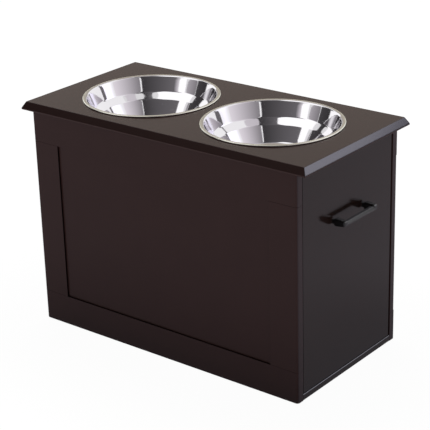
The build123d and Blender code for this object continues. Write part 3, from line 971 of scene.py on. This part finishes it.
# cards that gloss and steel reflect: name, distance, colour, strength at the left and at the right
# (towards larger azimuths), share of the width and height over which the edges fade, and rows of
# elevation, azimuth from and azimuth to, upwards in degrees
CARDS = (
    ("overhead_softbox", 4.8, "#ffffff", 1.5, 1.5, 0,
     [(10, -28, -14), (22, -31, -16), (31, -55, -27), (36, -70, -27), (45, -81, -14),
      (48, -84, 8), (60, -86, 15), (70, -88, 19), (79, -88, 22)]),
    ("front_flag", 3.8, "#f8f2f8", 0.2, 0.06, 0,
     [(-3, -4, 52), (22, -4, 57.5), (28, -12, 59), (35, -33, 62), (40, -28, 63), (44, -17, 65),
      (47, 6, 67), (55, 12, 74), (65, 15, 92), (72, 14, 102), (78, 14, 98), (84, 30, 75)]),
    ("front_flag_edge", 3.8, "#f8f2f8", 0.9, 0.14, 0,
     [(-3, -15, -4), (22, -15, -4), (28, -22, -12)]),
    ("edge_light", 4.7, "#ffffff", 1.3, 1.3, 0,
     [(-3, 54, 66), (25, 55, 66), (45, 60, 72), (60, 70, 84)]),
    ("side_scrim", 4.0, "#f8f2f8", 0.32, 1.1, 0,
     [(-3, 60, 118), (25, 61, 118), (45, 67.5, 118), (60, 80, 114), (68, 106, 112)]),
    ("left_scrim", 3.9, "#f8f2f8", 0.3, 0.6, 0,
     [(-3, -56, -32), (18, -54, -32), (27, -59, -55)]),
    ("left_flag", 3.7, "#f8f2f8", 0.05, 0.08, 0,
     [(-3, -80, -56), (12, -78, -55), (20, -90, -57), (27, -97, -60), (31, -98, -64),
      (36, -98, -76), (40, -97, -86)]),
    ("left_softbox", 4.2, "#ffffff", 1.4, 1.4, 0,
     [(-3, -110, -80), (12, -112, -80), (20, -125, -92), (28, -130, -99)]),
    ("high_wall", 4.5, "#f8f2f8", 0.75, 0.9, 0,
     [(50, 100, 142), (73, 96, 142)]),
    ("side_wall", 4.3, "#ffffff", 1.15, 1.25, 0,
     [(-3, 116, 195), (30, 116, 195), (60, 112, 190)]),
    ("side_softbox", 3.7, "#efedfb", 2.1, 2.1, 0.35,
     [(7, 118, 156), (38, 118, 156)]),
    ("rear_flag", 3.65, "#f8f2f8", 0.2, 0.2, 0,
     [(-3, 136, 151), (10, 138, 149), (20, 151, 157), (36, 163, 167)]),
    ("warm_wall", 4.4, "#fbf3e8", 0.53, 0.53, 0,
     [(-3, 190, 246), (20, 190, 246), (36, 190, 235), (50, 190, 235)]),
    ("ceiling", 4.4, "#fff3e6", 0.5, 0.5, 0,
     [(50, 160, 245), (84, 150, 250)]),
)


def pale_surround(tree, lit, white, lens_share, lens_level, gloss_level, gloss_tint=(1, 1, 1)):
    """What lights the feeder, with a white instead that the lens sees, and steel and gloss reflect.
    The level for gloss is a number or a node, and its tint is a colour."""
    rays = add(tree, "ShaderNodeLightPath").outputs
    either = {"operation": "ADD", "use_clamp": True}
    gloss = add(tree, "ShaderNodeMath", either, _0=rays["Is Glossy Ray"], _1=rays["Is Transmission Ray"])
    lens_too = {"operation": "MULTIPLY_ADD", "use_clamp": True}
    seen = add(tree, "ShaderNodeMath", lens_too, _0=rays["Is Camera Ray"], _1=lens_share, _2=gloss)
    level = add(tree, "ShaderNodeMapRange", Value=gloss, To_Min=lens_level, To_Max=gloss_level)
    tree.links.new(level.outputs["Result"], white.inputs["Strength"])
    tone = add(tree, "ShaderNodeMixRGB", Fac=gloss, Color1=(1, 1, 1, 1), Color2=(*gloss_tint, 1))
    tree.links.new(tone.outputs["Color"], white.inputs["Color"])
    return add(tree, "ShaderNodeMixShader", _0=seen, _1=lit, _2=white)


def bearing(azimuth, elevation):
    """Direction from the bowls: azimuth in degrees from the front towards the right, and elevation."""
    a, e = math.radians(azimuth), math.radians(elevation)
    return Vector((math.sin(a) * math.cos(e), -math.cos(a) * math.cos(e), math.sin(e)))


def card_sheet(distance, rows, columns=10, tallest=5):
    """Curved sheet through rows of bearings, with each point's shares across and upwards."""
    fine = []
    for lower, upper in zip(rows, rows[1:]):
        parts = max(1, round((upper[0] - lower[0]) / tallest))
        for k in range(parts):
            fine.append([a + (b - a) * k / parts for a, b in zip(lower, upper)])
    fine.append(rows[-1])
    made = bmesh.new()
    across = made.verts.layers.float.new("across")
    upwards = made.verts.layers.float.new("upwards")
    grid = []
    for row, (elevation, start, end) in enumerate(fine):
        line = []
        for k in range(columns + 1):
            way = bearing(start + (end - start) * k / columns, elevation)
            v = made.verts.new(CARD_MIDDLE + distance * way)
            v[across] = k / columns
            v[upwards] = row / (len(fine) - 1)
            line.append(v)
        grid.append(line)
    for low, high in zip(grid, grid[1:]):
        for k in range(columns):
            made.faces.new((low[k], low[k + 1], high[k + 1], high[k]))
    return made


def card_paper(tree, colour, level, far_level, feather):
    """Matt card, lit evenly from level to far_level across it, whose edges can fade."""
    across = add(tree, "ShaderNodeAttribute", {"attribute_name": "across"}).outputs["Fac"]
    glow = add(tree, "ShaderNodeMapRange", Value=across, To_Min=level, To_Max=far_level)
    shader = add(tree, "ShaderNodeEmission", Color=(*colour, 1), Strength=glow)
    if feather:
        upwards = add(tree, "ShaderNodeAttribute", {"attribute_name": "upwards"}).outputs["Fac"]
        fades = []
        for place in (across, upwards):
            # 0 in the middle and 0.5 at the edge
            off = add(tree, "ShaderNodeMath", {"operation": "SUBTRACT"}, _0=place, _1=0.5)
            off = add(tree, "ShaderNodeMath", {"operation": "ABSOLUTE"}, _0=off)
            full, gone = {"From_Min": 0.5 - feather, "To_Min": 1.0}, {"From_Max": 0.5, "To_Max": 0.0}
            fades.append(add(tree, "ShaderNodeMapRange", SMOOTH, Value=off, **full, **gone))
        cover = add(tree, "ShaderNodeMath", {"operation": "MULTIPLY"}, _0=fades[0], _1=fades[1])
        clear = add(tree, "ShaderNodeBsdfTransparent")
        shader = add(tree, "ShaderNodeMixShader", _0=cover, _1=clear, _2=shader)
    return shader


class OBJECT_OT_feeder_studio(bpy.types.Operator):
    """Pale floor, even sky, a soft light overhead, the cards round the feeder and the camera"""

    bl_idname = "object.feeder_studio"
    bl_label = "Studio"

    def execute(self, context):
        studio = context.scene.feeder_studio
        self.floor(studio)
        self.sky(studio)
        self.key_light(studio)
        self.cards()
        self.camera(studio)
        context.scene.view_settings.view_transform = "Standard"
        return {"FINISHED"}

    def key_light(self, studio):
        """Soft light that lens and gloss don't see: what they would see of it is a card's part."""
        place, target = Vector((-1.0, 1.1, 2.6)), Vector((0, 0, 0.3))
        lamp = bpy.data.lights.new("key_light", "AREA")
        lamp.size = 2.0
        lamp.energy = studio.key
        made = linked("key_light", lamp)
        made.location = place
        made.rotation_mode = "QUATERNION"
        made.rotation_quaternion = (target - place).to_track_quat("-Z", "Y")
        made.visible_camera = False
        made.visible_glossy = False

    def cards(self):
        """Curved cards that only gloss sees."""
        for name, distance, code, *light, rows in CARDS:
            paper = new_material(name, card_paper, from_hex(code), *light)
            paper.cycles.emission_sampling = "NONE"
            card = to_object(name, card_sheet(distance, rows), paper)
            for rays in ("camera", "diffuse", "shadow", "transmission"):
                setattr(card, f"visible_{rays}", False)

    def floor(self, studio):
        reach = studio.floor_reach
        mesh = bpy.data.meshes.new("floor")
        corners = [(-reach, -reach, 0), (reach, -reach, 0), (reach, reach, 0), (-reach, reach, 0)]
        mesh.from_pydata(corners, [], [(0, 1, 2, 3)])
        pale = new_material("pale floor", self.opal_table, studio)
        pale.cycles.emission_sampling = "NONE"
        linked("floor", mesh, pale)

    def opal_table(self, tree, studio):
        """Matt opal table lit from below, whose glow fades under the feeder and close round it: a painted
        shadow round its foot.
        """
        paint = add(tree, "ShaderNodeBsdfDiffuse", Color=(*studio.floor, 1))
        # distance from the box round the feeder
        place = add(tree, "ShaderNodeTexCoord").outputs["Object"]
        foot = (packed_box[1].x, packed_box[1].y, 0)
        away = add(tree, "ShaderNodeVectorMath", {"operation": "ABSOLUTE"}, _0=place)
        away = add(tree, "ShaderNodeVectorMath", {"operation": "SUBTRACT"}, _0=away, _1=foot)
        away = add(tree, "ShaderNodeVectorMath", {"operation": "MAXIMUM"}, _0=away, _1=(0, 0, 0))
        away = add(tree, "ShaderNodeVectorMath", {"operation": "LENGTH"}, _0=away).outputs["Value"]
        # the glow rises from nothing at the feeder's foot to full at the margin: painted shadow
        margin, full = studio.painted_shadow_reach, studio.opal
        rise = add(tree, "ShaderNodeMapRange", SMOOTH, Value=away, From_Max=margin, To_Max=full)
        opal = add(tree, "ShaderNodeEmission", Strength=rise)
        lit = add(tree, "ShaderNodeAddShader", _0=paint, _1=opal)
        # what gloss sees of the table: dimmer in front of the feeder and close to its foot, painted shade
        # and shadow in the reflections
        depth = add(tree, "ShaderNodeSeparateXYZ", Vector=place).outputs["Y"]
        dim, bright = {"From_Min": -0.4, "To_Min": 0.36}, {"From_Max": 0.05, "To_Max": 0.42}
        far = add(tree, "ShaderNodeMapRange", SMOOTH, Value=depth, **dim, **bright)
        near = add(tree, "ShaderNodeMapRange", SMOOTH, Value=away, From_Max=0.35, To_Min=0.7, To_Max=1.0)
        sheen = add(tree, "ShaderNodeMath", {"operation": "MULTIPLY"}, _0=far, _1=near)
        glow = add(tree, "ShaderNodeEmission")
        return pale_surround(tree, lit, glow, 0.95, 1.02, sheen, studio.gloss_tint)

    def sky(self, studio):
        world = bpy.data.worlds.new("studio")
        world.use_nodes = True
        world.cycles.sampling_method = "NONE"
        bpy.context.scene.world = world
        tree = world.node_tree
        tree.nodes.clear()
        lit = add(tree, "ShaderNodeBackground", Color=(1, 1, 1, 1), Strength=studio.sky)
        white = add(tree, "ShaderNodeBackground")
        mixed = pale_surround(tree, lit, white, 1.0, 1.0, 1.0)
        add(tree, "ShaderNodeOutputWorld", Surface=mixed)

    def camera(self, studio):
        lens = bpy.data.cameras.new("camera")
        lens.sensor_width = 36
        lens.lens = studio.lens
        lens.clip_end = 100
        made = linked("camera", lens)
        back, roll = bearing(*CAMERA_BEARING), math.radians(CAMERA_ROLL)
        right = (-back).cross(UP).normalized()
        up = right.cross(-back)
        across = right * math.cos(roll) + up * math.sin(roll)
        above = up * math.cos(roll) - right * math.sin(roll)
        turn = Matrix((across, above, back)).transposed().to_4x4()
        made.matrix_world = Matrix.Translation(CAMERA_PLACE) @ turn
        bpy.context.scene.camera = made


class VIEW3D_PT_feeder(bpy.types.Panel):
    """Builds the feeder step by step"""

    bl_label = "Dog Feeder"
    bl_idname = "VIEW3D_PT_feeder"
    bl_space_type = "VIEW_3D"
    bl_region_type = "UI"
    bl_category = "Dog Feeder"

    def draw(self, context):
        layout = self.layout
        for group in GROUPS:
            settings = getattr(context.scene, group)
            box = layout.box()
            for name in settings.bl_rna.properties.keys():
                if name not in ("rna_type", "name"):
                    box.prop(settings, name)
        for step in STEPS:
            layout.operator(step.bl_idname)


GROUPS = {
    "feeder_boards": FeederBoards,
    "feeder_bowls": FeederBowls,
    "feeder_fittings": FeederFittings,
    "feeder_studio": FeederStudio,
}
STEPS = (
    OBJECT_OT_feeder_frames,
    OBJECT_OT_feeder_sides,
    OBJECT_OT_feeder_lid,
    OBJECT_OT_feeder_bowls,
    OBJECT_OT_feeder_handles,
    OBJECT_OT_feeder_hinges,
    OBJECT_OT_feeder_joinery,
    OBJECT_OT_feeder_studio,
)


def register():
    for made in (*GROUPS.values(), *STEPS, VIEW3D_PT_feeder):
        bpy.utils.register_class(made)
    for name, group in GROUPS.items():
        setattr(bpy.types.Scene, name, PointerProperty(type=group))


def unregister():
    for name in GROUPS:
        delattr(bpy.types.Scene, name)
    for made in (VIEW3D_PT_feeder, *reversed(STEPS), *GROUPS.values()):
        bpy.utils.unregister_class(made)


def main():
    register()
    for step in STEPS:
        area, name = step.bl_idname.split(".")
        getattr(getattr(bpy.ops, area), name)()


if __name__ == "__main__":
    main()
